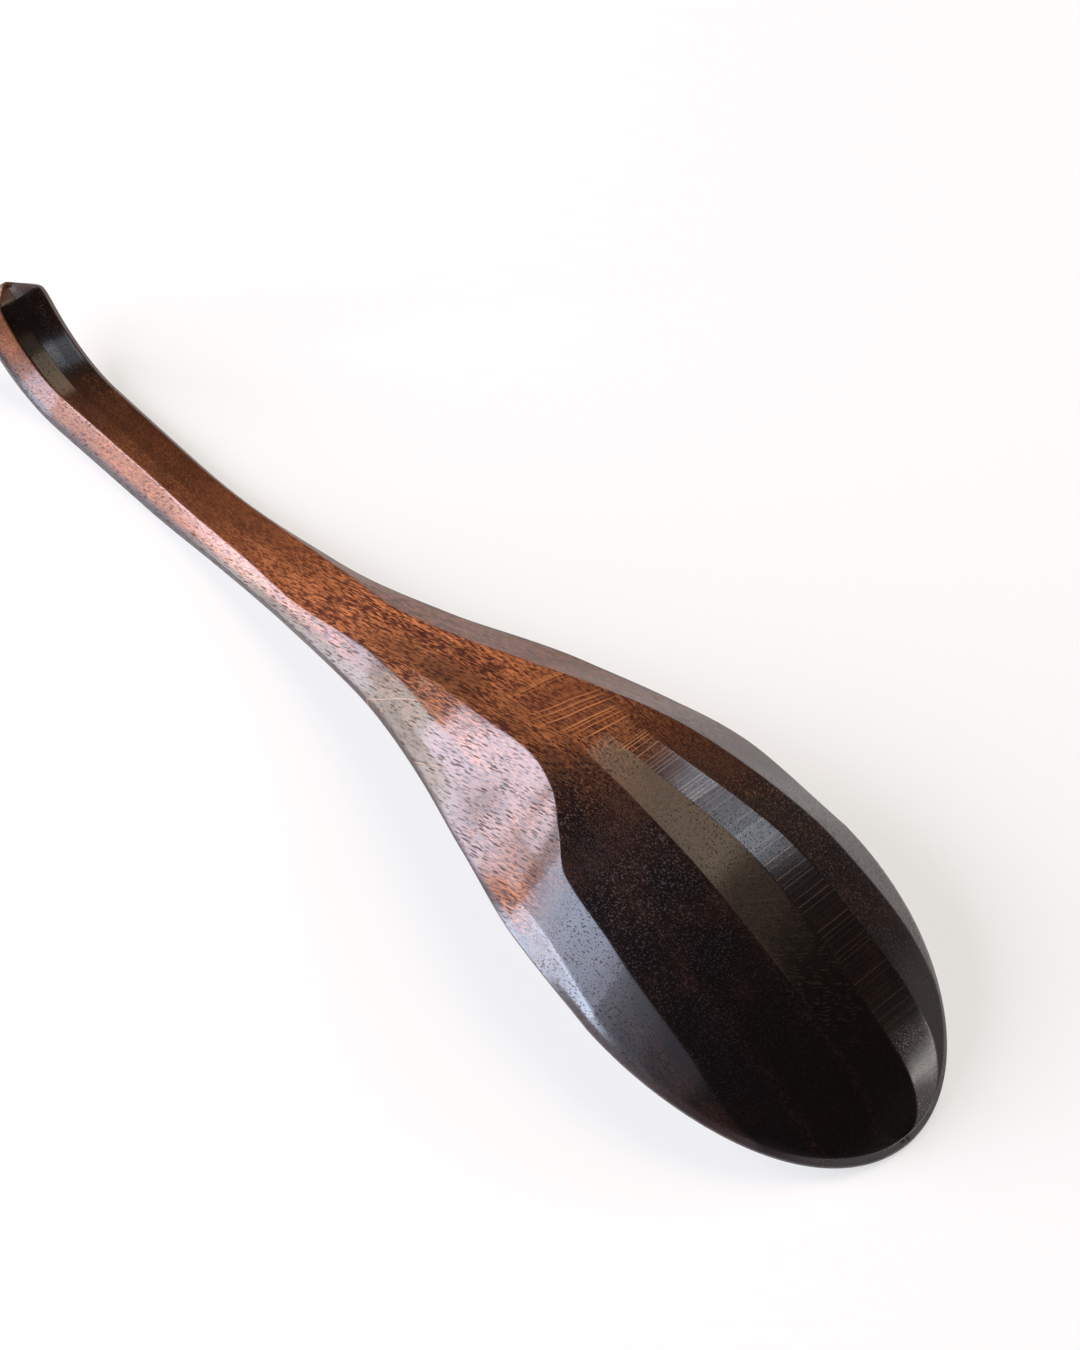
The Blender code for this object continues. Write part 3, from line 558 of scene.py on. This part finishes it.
class SpoonSizes(bpy.types.PropertyGroup):
    """Sizes that the solid leaves open, and the colours of the lacquered wood."""

    edge_rounding: bpy.props.FloatProperty(
        name="Facet edge rounding",
        description="Half width of the softened edge between two facets",
        default=0.22 * MM, min=0.0, subtype="DISTANCE", unit="LENGTH")
    rim_easing: bpy.props.FloatProperty(
        name="Rim easing", description="Radius of the eased edge between the rim and the hollow",
        default=0.45 * MM, min=0.0, subtype="DISTANCE", unit="LENGTH")
    dark_lacquer: colour_setting(
        "Dark lacquer", "Wood where the lacquer is thick", (0.0030, 0.0014, 0.0013))
    thin_lacquer: colour_setting(
        "Thin lacquer", "Wood where the lacquer is wiped thin", (0.46, 0.155, 0.050))
    ring_wood: colour_setting(
        "Dark growth rings", "Darker rings in the bare wood", (0.075, 0.019, 0.011))
    worn_edge: colour_setting(
        "Worn edge", "The rim's thin edge, where the lacquer is rubbed", (0.032, 0.022, 0.023))
    # The grey of the pores in the dark lacquer is partly filler and partly painted glints of pore
    # walls
    pore_filler_and_glint: colour_setting(
        "Dark pores", "Pores under the dark lacquer", (0.064, 0.050, 0.048))
    gold_filler: colour_setting(
        "Golden pores", "Pores where the lacquer thins out", (0.130, 0.062, 0.034))
    nick: colour_setting(
        "Knife nicks", "Thin lines where a knife cut ends", (0.42, 0.20, 0.12))
    chatter: colour_setting(
        "Chatter", "Short marks that a trembling blade left", (0.055, 0.029, 0.016))
    plane_line: colour_setting(
        "Plane lines", "Thin lines where they fan out over bare wood", (0.50, 0.20, 0.060))
    # The pale lines are partly painted glints on their ridges and partly paler wood
    pale_line_and_glint: colour_setting(
        "Pale plane lines", "Thin lines over the dark lacquer", (0.27, 0.195, 0.165))
    brown_line: colour_setting(
        "Brown plane lines", "Thin lines towards the bowl's tip", (0.150, 0.095, 0.055))
    grain_rise: bpy.props.FloatProperty(
        name="Grain rise", description="Angle at which the grain climbs towards the bowl's tip",
        default=math.radians(20), subtype="ANGLE", unit="ROTATION")


class StageSettings(bpy.types.PropertyGroup):
    """The table's colour and the brightness of the lights."""

    table_colour: colour_setting("Table colour", "The pale table", (0.99, 0.985, 0.89))
    shadow_depth: bpy.props.FloatProperty(
        name="Shadow depth", description="Share of the table's brightness that the lights give",
        default=0.44, min=0.0, max=1.0, subtype="FACTOR")
    window_radiance: bpy.props.FloatProperty(
        name="Window radiance", description="Brightness of the low cool window on the left",
        default=8.5, min=0.0)
    wall_radiance: bpy.props.FloatProperty(
        name="Warm wall radiance", description="Brightness of the warm walls on the right",
        default=1.8, min=0.0)
    back_radiance: bpy.props.FloatProperty(
        name="Back light radiance", description="Brightness of the small light behind the spoon",
        default=4.6, min=0.0)
    lamp_radiance: bpy.props.FloatProperty(
        name="Low lamp radiance", description="Brightness of the small low light off the tip",
        default=14.0, min=0.0)


class Wiring:
    """Short ways to add and join the nodes of one tree."""

    def __init__(self, tree):
        self.tree = tree

    def add(self, kind, inputs=(), **settings):
        """A node with its settings, and each listed input joined or set."""
        node = self.tree.nodes.new(kind)
        for name, value in settings.items():
            setattr(node, name, value)
        for name, value in dict(inputs).items():
            self.feed(node.inputs[name], value)
        return node

    def feed(self, socket, value):
        """Join a socket to an output, or give it a plain value."""
        if isinstance(value, bpy.types.NodeSocket):
            self.tree.links.new(value, socket)
        else:
            socket.default_value = value

    def math(self, operation, first, second=0.0, clamp=False):
        """One sum on two values."""
        node = self.add("ShaderNodeMath", {0: first, 1: second}, operation=operation,
                        use_clamp=clamp)
        return node.outputs[0]

    def times(self, first, *others):
        """The product of all values."""
        for other in others:
            first = self.math("MULTIPLY", first, other)
        return first

    def toward(self, share, start, goal):
        """A value taken a share of the way from start to goal."""
        way = self.math("SUBTRACT", goal, start)
        return self.math("ADD", start, self.math("MULTIPLY", share, way))

    def between(self, value, low, high, start=0.0, end=1.0):
        """Smooth step of a value from start at low to end at high."""
        node = self.add("ShaderNodeMapRange", {"Value": value, "From Min": low, "From Max": high,
                                               "To Min": start, "To Max": end})
        node.interpolation_type = "SMOOTHSTEP"
        return node.outputs[0]

    def blend(self, share, first, second, mode="MIX"):
        """Two colours mixed by a share."""
        node = self.add("ShaderNodeMix", data_type="RGBA", blend_type=mode)
        for index, value in ((0, share), (6, first), (7, second)):
            if isinstance(value, tuple):
                value = (*value, 1.0)
            self.feed(node.inputs[index], value)
        return node.outputs[2]

    def noise(self, vector, scale, detail=2.0, roughness=0.5):
        """Soft random values at a scale per millimetre."""
        node = self.add("ShaderNodeTexNoise", {"Vector": vector, "Scale": scale, "Detail": detail,
                                               "Roughness": roughness})
        return node.outputs[0]

    def cells(self, place, scale, socket="Vector", dimensions="3D"):
        """Distance to the middle of the nearest random cell, and that cell's random colour."""
        node = self.add("ShaderNodeTexVoronoi", {socket: place, "Scale": scale},
                        voronoi_dimensions=dimensions)
        return node.outputs["Distance"], node.outputs["Color"]

    def rows(self, value, scale):
        """The same for uneven rows along a value."""
        return self.cells(value, scale, "W", "1D")

    def part(self, colour, index=0):
        """One part of a colour."""
        return self.add("ShaderNodeSeparateColor", {0: colour}).outputs[index]

    def trait(self, name):
        """One of the values kept on the spoon's points."""
        return self.add("ShaderNodeAttribute", attribute_name=name).outputs["Fac"]


def grain_space(wiring, rise, stretch):
    """Millimetres turned so that X runs along the grain, which is drawn out by the stretch."""
    place = wiring.add("ShaderNodeTexCoord").outputs["Object"]
    turned = wiring.add("ShaderNodeMapping", {"Vector": place, "Rotation": (0.0, rise, 0.0),
                                              "Scale": (1.0 / MM, 1.0 / MM, 1.0 / MM)})
    drawn = wiring.add("ShaderNodeMapping", {"Vector": turned.outputs[0],
                                             "Scale": (1.0 / stretch, 1.0, 1.0)})
    return drawn.outputs[0]


def pores(wiring, rise, along):
    """Open pores: the middles of cells, long along the grain on the handle, short on the bowl."""
    dots, dashes = (grain_space(wiring, rise, stretch) for stretch in (DOT_STRETCH, DASH_STRETCH))
    fine = wiring.add("ShaderNodeMix", {0: wiring.between(along, 40.0, 47.0), 4: dots, 5: dashes},
                      data_type="VECTOR").outputs[1]
    distance, colour = wiring.cells(fine, 3.0)
    reach = wiring.math("ADD", wiring.times(wiring.part(colour), 0.14), 0.22)
    large = wiring.between(wiring.math("SUBTRACT", reach, distance), -0.02, 0.08)
    small = wiring.between(wiring.cells(fine, 4.8)[0], 0.22, 0.34, 0.9, 0.0)
    patches = wiring.noise(grain_space(wiring, rise, 1.0), 0.4, 1.0)
    return wiring.times(wiring.math("MAXIMUM", large, small),
                        wiring.between(patches, 0.3, 0.6, 0.65, 1.0))


def wood_streaks(wiring, along, short_grain, broad):
    """Fine streaks, and how light they make the bare wood; they calm down on the handle."""
    streak = wiring.noise(short_grain, 5.0, 2.0, 0.6)
    light = wiring.math("ADD", streak, wiring.between(broad, 0.35, 0.65, -0.06, 0.06))
    light = wiring.between(light, 0.38, 0.62)
    return streak, wiring.toward(wiring.between(along, 95.0, 130.0, 0.0, 0.5), light, 0.55)


def lacquer_thinness(wiring, wiped, broad, cloud):
    """How far the wood shows through the lacquer, uneven in clouds and in bands of grain."""
    thin = wiring.math("ADD", wiped, wiring.between(cloud, 0.3, 0.7, -0.07, 0.07), clamp=True)
    thin = wiring.math("POWER", thin, 2.0)
    return wiring.math("MULTIPLY", thin, wiring.between(broad, 0.3, 0.7, 1.25, 0.7), clamp=True)


def pore_colour(wiring, sizes, wiped):
    """Colour in the pores: grey in dark lacquer, gold where it thins out, dark in bare wood.

    The grey is partly filler and partly painted glints of the pore walls. The paleness that it is
    multiplied by paints glints and the light that each facet gets.
    """
    filled = wiring.blend(wiring.between(wiped, 0.10, 0.35),
                          sizes.pore_filler_and_glint[:], sizes.gold_filler[:])
    bare = tuple(BARE_PORE * part for part in sizes.thin_lacquer)
    filled = wiring.blend(wiring.between(wiped, 0.42, 0.62), filled, bare)
    pore_glints = wiring.trait("pore_glints")
    glint_paleness = wiring.add("ShaderNodeCombineColor", {0: pore_glints, 1: pore_glints, 2: pore_glints})
    return wiring.blend(1.0, filled, glint_paleness.outputs[0], mode="MULTIPLY")


def growth_lines(wiring, side, plain, short_grain):
    """Lines of growth along the spoon, swaying to the sides and broken up."""
    sway = wiring.times(wiring.noise(plain, 0.06, 2.0), 6.0)
    ring = wiring.math("PINGPONG", wiring.math("ADD", side, sway), 3.6)
    return wiring.times(wiring.between(ring, 0.0, 1.1, 1.0, 0.0),
                        wiring.between(wiring.noise(short_grain, 3.0, 2.0), 0.45, 0.65))


def chatter_marks(wiring, along, side, plain):
    """Short slanted marks that a trembling blade left, broken up."""
    row = wiring.math("ADD", along, wiring.times(side, 0.59))
    row = wiring.math("ADD", row, wiring.noise(plain, 0.8, 1.0))
    mark = wiring.between(wiring.rows(row, 2.6)[0], 0.06, 0.22, 1.0, 0.0)
    broken = wiring.between(wiring.noise(plain, 1.1, 1.0), 0.47, 0.6)
    return wiring.times(mark, broken, wiring.trait("chatter"))


def plane_marks(wiring, along, side):
    """Thin lines across the planed facet, in uneven groups, and the gloss of the steps between."""
    swell = wiring.between(along, 50.0, 60.0, 0.2, 2.4)
    bend = wiring.times(wiring.noise(grain_space(wiring, 0.0, 1.0), 0.12, 1.0), swell)
    slant = wiring.times(side, wiring.between(along, 48.0, 58.0, -0.10, 0.28))
    row = wiring.math("ADD", wiring.math("ADD", along, slant), bend)
    distance, colour = wiring.rows(row, 1.9)
    group = wiring.rows(row, 0.33)[1]
    width = wiring.between(along, 46.0, 56.0, 0.0, 0.13)
    line = wiring.between(wiring.math("SUBTRACT", distance, width), 0.04, 0.16, 1.0, 0.0)
    strength = wiring.times(wiring.between(wiring.part(colour), 0.2, 0.8, 0.1, 1.0),
                            wiring.between(wiring.part(group, 1), 0.3, 0.6, 0.55, 1.0))
    step = wiring.between(wiring.part(group), 0.15, 0.85, 0.6, 1.0)
    return wiring.times(line, strength, wiring.trait("lines")), step


def plane_colour(wiring, sizes, along):
    """Colour of the lines: brown towards the tip, then pale, which is partly painted glints on
    their ridges and partly paler wood, then golden where they fan out.
    """
    dark = wiring.blend(wiring.between(along, 20.0, 27.0), sizes.brown_line[:], sizes.pale_line_and_glint[:])
    return wiring.blend(wiring.between(along, 44.0, 51.0), dark, sizes.plane_line[:])


def nicks(wiring, along, side):
    """Swaying thin lines where one knife cut ends over another, as NICKS lists them."""
    sway = wiring.noise(grain_space(wiring, 0.0, 1.0), 0.09, 0.0)
    bent = wiring.math("ADD", side, wiring.times(wiring.math("SUBTRACT", sway, 0.5), 3.0))
    lines = []
    for start, slope, near, far in NICKS:
        run = wiring.times(wiring.math("SUBTRACT", far, along), slope)
        off = wiring.math("SUBTRACT", wiring.math("SUBTRACT", bent, start), run)
        on = wiring.between(wiring.math("ABSOLUTE", off), 0.01, 0.09, 1.0, 0.0)
        lines.append(wiring.times(on, wiring.between(along, near - 1.0, near + 1.0),
                                  wiring.between(along, far, far + 1.0, 1.0, 0.0)))
    return wiring.math("MAXIMUM", *lines)


def lacquered_wood(sizes):
    """Dark wiped lacquer over open-pored wood.

    The colour goes from black lacquer to streaked bare wood by how thin the lacquer is wiped. The
    gloss is a coat that misses the pores. Distances in the wiring are in millimetres, those along
    the spoon are from its tip, and noise scales are per millimetre.
    """
    material = bpy.data.materials.new("lacquered_wood_finish")
    material.use_nodes = True
    shader = material.node_tree.nodes["Principled BSDF"]
    wiring = Wiring(material.node_tree)
    along, planed, rim, wiped, pores_shown, kept = (
        wiring.trait(name) for name in ("along", "planed", "rim", "wiped", "pores_shown", "gloss"))
    place = wiring.add("ShaderNodeTexCoord").outputs["Object"]
    across = wiring.add("ShaderNodeSeparateXYZ", {0: place}).outputs[1]
    side = wiring.times(across, 1.0 / MM)
    plain, short_grain, long_grain = (
        grain_space(wiring, sizes.grain_rise, stretch)
        for stretch in (1.0, SHORT_STRETCH, LONG_STRETCH))
    broad = wiring.noise(long_grain, 0.55, 3.0, 0.55)
    cloud = wiring.noise(plain, 0.16, 2.0, 0.5)

    streak, light = wood_streaks(wiring, along, short_grain, broad)
    thin = lacquer_thinness(wiring, wiped, broad, cloud)
    pore = pores(wiring, sizes.grain_rise, along)
    line, step = plane_marks(wiring, along, side)
    fan = wiring.times(wiring.between(along, 48.0, 56.0, 0.0, FAN_STRENGTH), planed)
    growth = growth_lines(wiring, side, plain, short_grain)
    chatter = chatter_marks(wiring, along, side, plain)

    colour = wiring.blend(light, sizes.ring_wood[:], sizes.thin_lacquer[:])
    colour = wiring.blend(thin, sizes.dark_lacquer[:], colour)
    for share, layer in (
            (wiring.times(rim, RIM_WEAR), sizes.worn_edge[:]),
            # Pale pores: partly their filler, partly painted glints
            (wiring.times(pore, pores_shown, PORE_STRENGTH), pore_colour(wiring, sizes, wiped)),
            (wiring.times(growth, GROWTH_STRENGTH), sizes.thin_lacquer[:]),
            (wiring.times(chatter, CHATTER_STRENGTH), sizes.chatter[:]),
            (fan, sizes.ring_wood[:]),
            (line, plane_colour(wiring, sizes, along)),
            (wiring.times(nicks(wiring, along, side), NICK_STRENGTH), sizes.nick[:])):
        colour = wiring.blend(share, colour, layer)
    wiring.feed(shader.inputs["Base Color"], colour)

    dull = wiring.times(wiring.math("SUBTRACT", 1.0, light), thin, 0.2)
    open_wood = wiring.math("MAXIMUM", wiring.times(pore, PORE_STRENGTH), dull)
    coat = wiring.times(wiring.math("SUBTRACT", 1.0, open_wood), kept,
                        wiring.toward(planed, 1.0, step))
    wiring.feed(shader.inputs["Coat Weight"], coat)
    wiring.feed(shader.inputs["Roughness"], wiring.between(streak, 0.3, 0.7, 0.45, 0.6))
    shader.inputs["Specular IOR Level"].default_value = 0.05
    shader.inputs["Coat Roughness"].default_value = 0.18
    shader.inputs["Coat IOR"].default_value = 1.5
    height = wiring.math("SUBTRACT", wiring.times(line, 0.5), pore)
    bump = wiring.add("ShaderNodeBump", {"Height": height, "Strength": 0.2, "Distance": 0.03 * MM})
    wiring.feed(shader.inputs["Normal"], bump.outputs[0])
    return material


def table_top(settings):
    """Matt pale table, part of whose white is its own so that the spoon's shadow stays faint.

    Only rays from the camera, from gloss and through glass meet that white.
    """
    material = bpy.data.materials.new("pale_table")
    material.use_nodes = True
    tree = material.node_tree
    wiring = Wiring(tree)
    matt = tree.nodes["Principled BSDF"]
    matt.inputs["Base Color"].default_value = (*settings.table_colour, 1.0)
    matt.inputs["Roughness"].default_value = 1.0
    matt.inputs["Specular IOR Level"].default_value = 0.0
    white = wiring.add("ShaderNodeEmission", {"Color": (1.0, 1.0, 1.0, 1.0), "Strength": 1.0})
    ray = wiring.add("ShaderNodeLightPath").outputs
    seen = wiring.math("ADD", ray["Is Camera Ray"], ray["Is Glossy Ray"], clamp=True)
    seen = wiring.math("ADD", seen, ray["Is Transmission Ray"], clamp=True)
    share = wiring.math("MULTIPLY", seen, 1.0 - settings.shadow_depth)
    mixed = wiring.add("ShaderNodeMixShader", {0: share, 1: matt.outputs[0], 2: white.outputs[0]})
    wiring.feed(tree.nodes["Material Output"].inputs["Surface"], mixed.outputs[0])
    return material


def direction(azimuth, elevation):
    """The unit vector at two angles."""
    return Vector((math.cos(azimuth) * math.cos(elevation),
                   math.sin(azimuth) * math.cos(elevation), math.sin(elevation)))


def area_light(name, angles, spread, radiance, colour):
    """A rectangle of light that faces the spoon.

    Angles and spread are azimuth and elevation in degrees. A side is twice the distance times the
    tangent of half its spread, and the power is pi times the area times the radiance.
    """
    width, height = (2.0 * LIGHT_DISTANCE * math.tan(0.5 * math.radians(angle))
                     for angle in spread)
    light = bpy.data.lights.new(name, "AREA")
    light.shape = "RECTANGLE"
    light.size, light.size_y = width, height
    light.energy = math.pi * width * height * radiance
    light.color = colour
    lamp = bpy.data.objects.new(name, light)
    bpy.context.scene.collection.objects.link(lamp)
    away = direction(*(math.radians(angle) for angle in angles))
    lamp.location = away * LIGHT_DISTANCE
    lamp.rotation_euler = away.to_track_quat("Z", "Y").to_euler()


def room():
    """Dim surroundings that the camera sees as white."""
    world = bpy.data.worlds.new("room")
    world.use_nodes = True
    wiring = Wiring(world.node_tree)
    dim = world.node_tree.nodes["Background"]
    dim.inputs["Color"].default_value = (*ROOM_COLOUR, 1.0)
    white = wiring.add("ShaderNodeBackground", {"Color": (1.0, 1.0, 1.0, 1.0), "Strength": 1.0})
    seen = wiring.add("ShaderNodeLightPath").outputs["Is Camera Ray"]
    mixed = wiring.add("ShaderNodeMixShader", {0: seen, 1: dim.outputs[0], 2: white.outputs[0]})
    wiring.feed(world.node_tree.nodes["World Output"].inputs["Surface"], mixed.outputs[0])
    return world


def viewpoint():
    """The camera, at the photograph's angle and as near as the photograph's own."""
    camera = bpy.data.cameras.new("camera")
    camera.sensor_width = SENSOR
    camera.lens = FOCAL_PIXELS / PICTURE_HEIGHT * SENSOR
    camera.clip_start = NEAREST_SEEN
    viewer = bpy.data.objects.new("camera", camera)
    bpy.context.scene.collection.objects.link(viewer)
    back = direction(CAMERA_AZIMUTH, CAMERA_ELEVATION)
    viewer.location = Vector(LOOKED_AT) + back * CAMERA_DISTANCE
    viewer.rotation_euler = back.to_track_quat("Z", "Y").to_euler()
    return viewer


class SPOON_OT_carve(bpy.types.Operator):
    """Carve the spoon's surface and give it its lacquered wood."""

    bl_idname = "spoon.carve"
    bl_label = "Carve the spoon"

    def execute(self, context):
        sizes = context.scene.spoon_sizes
        rings, traits = carve(sizes.edge_rounding / MM, sizes.rim_easing / MM)
        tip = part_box("carved_spoon")[1][0]
        points = rings * MM
        points[..., 0] += tip
        mesh, kept = ring_mesh("spoon_carving", points)
        for name, values in traits.items():
            layer = mesh.attributes.new(name, "FLOAT", "POINT")
            flat = np.append(values.reshape(-1), values[-1].mean())
            layer.data.foreach_set("value", flat[kept].astype(np.float32))
        mesh.shade_smooth()
        mesh.set_sharp_from_angle(angle=SHARP_ANGLE)
        mesh.materials.append(lacquered_wood(sizes))
        spoon = bpy.data.objects.new("spoon_carving", mesh)
        context.scene.collection.objects.link(spoon)
        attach(spoon, "root")
        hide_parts("carved_spoon")
        return {"FINISHED"}


class SPOON_OT_stage(bpy.types.Operator):
    """Lay the table, hang the lights and set up the camera."""

    bl_idname = "spoon.stage"
    bl_label = "Set the stage"

    def execute(self, context):
        settings = context.scene.spoon_stage
        scene = context.scene
        mesh = bpy.data.meshes.new("table")
        corners = [(x * TABLE_REACH, y * TABLE_REACH, 0.0)
                   for x, y in ((-1, -1), (1, -1), (1, 1), (-1, 1))]
        mesh.from_pydata(corners, [], [(0, 1, 2, 3)])
        table = bpy.data.objects.new("table", mesh)
        scene.collection.objects.link(table)
        table.location.z = -TABLE_DROP
        mesh.materials.append(table_top(settings))
        for name, angles, spread, source, share, colour in LIGHTS:
            area_light(name, angles, spread, share * getattr(settings, source), colour)
        scene.world = room()
        scene.camera = viewpoint()
        scene.view_settings.view_transform = "Standard"
        return {"FINISHED"}


class SPOON_PT_panel(bpy.types.Panel):
    """Lists the steps that make the spoon and its stage."""

    bl_idname = "SPOON_PT_panel"
    bl_label = "Soup spoon"
    bl_space_type = "VIEW_3D"
    bl_region_type = "UI"
    bl_category = "Spoon"

    def draw(self, context):
        for group in (context.scene.spoon_sizes, context.scene.spoon_stage):
            for name in group.bl_rna.properties.keys():
                if name not in ("rna_type", "name"):
                    self.layout.prop(group, name)
        self.layout.operator(SPOON_OT_carve.bl_idname)
        self.layout.operator(SPOON_OT_stage.bl_idname)


CLASSES = (SpoonSizes, StageSettings, SPOON_OT_carve, SPOON_OT_stage, SPOON_PT_panel)


def register():
    """Register the classes and hang the settings on the scene."""
    for cls in CLASSES:
        bpy.utils.register_class(cls)
    bpy.types.Scene.spoon_sizes = bpy.props.PointerProperty(type=SpoonSizes)
    bpy.types.Scene.spoon_stage = bpy.props.PointerProperty(type=StageSettings)


def unregister():
    """Take the settings off the scene and the classes out again."""
    del bpy.types.Scene.spoon_stage
    del bpy.types.Scene.spoon_sizes
    for cls in reversed(CLASSES):
        bpy.utils.unregister_class(cls)


def main():
    """Register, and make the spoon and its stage."""
    register()
    bpy.ops.spoon.carve()
    bpy.ops.spoon.stage()
    bpy.context.view_layer.update()


if __name__ == "__main__":
    main()
